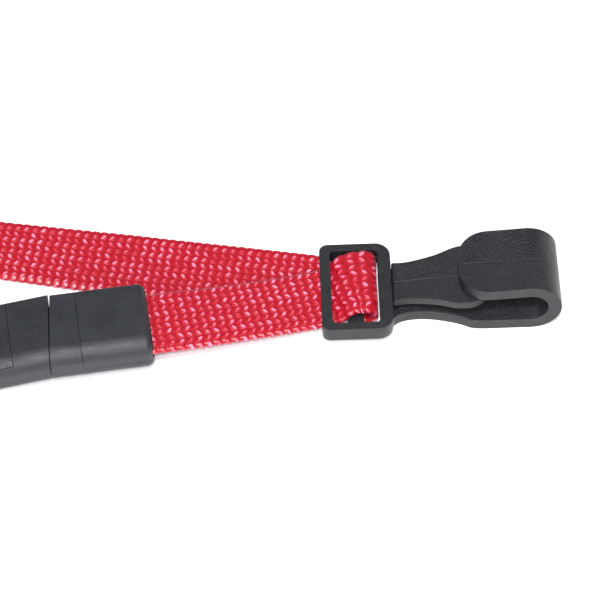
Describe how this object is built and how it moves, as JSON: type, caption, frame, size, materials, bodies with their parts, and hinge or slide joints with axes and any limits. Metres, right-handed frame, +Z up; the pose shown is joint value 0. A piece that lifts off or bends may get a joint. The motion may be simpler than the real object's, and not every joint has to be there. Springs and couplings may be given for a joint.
{
  "type": "neck lanyard",
  "caption": "Flat braided neck lanyard with a breakaway clasp and a wide flat plastic badge hook; the rest of the strap is folded into a tied hank.",
  "frame": {"origin": "bottom centre of the hook, on the surface it lies on", "axes": "+X towards the bend of the hook, +Z up, the strap leaves towards -X"},
  "size_m": [0.285, 0.0342, 0.0115],
  "materials": {
    "black_plastic": "satin",
    "red_braid": "braided polyester",
    "black_rubber": "matte"
  },
  "bodies": {
    "strap_and_hook": {"hook_body": "black_plastic", "socket_body": "black_plastic", "strap_lead": "red_braid", "strap_hank": "red_braid", "strap_tail": "red_braid", "strap_tie": "black_rubber"},
    "gate": {"hook_gate": "black_plastic"},
    "socket_cover": {"socket_lid": "black_plastic"},
    "plug": {"plug_body": "black_plastic"},
    "plug_cover": {"plug_lid": "black_plastic"}
  },
  "joints": [
    {"name": "gate_flex", "type": "hinge", "parent": "strap_and_hook", "child": "gate", "pos_m": [-0.0065, 0, 0.0039], "axis": [0, 1, 0], "range_deg": [0, 8], "stiffness_Nm_per_rad": 0.05},
    {"name": "clasp_release", "type": "slide", "parent": "strap_and_hook", "child": "plug", "axis": [-0.993, -0.1184, 0], "range_m": [0, 0.009], "deforming": ["strap_tail"]},
    {"name": "socket_lid_hinge", "type": "hinge", "parent": "strap_and_hook", "child": "socket_cover", "pos_m": [-0.0471, -0.00128, 0.00683], "axis": [-0.993, -0.1184, 0], "range_deg": [0, 100]},
    {"name": "plug_lid_hinge", "type": "hinge", "parent": "plug", "child": "plug_cover", "pos_m": [-0.06521, -0.01428, 0.00512], "axis": [0.9862, 0.1281, 0.1045], "range_deg": [0, 100]}
  ]
}
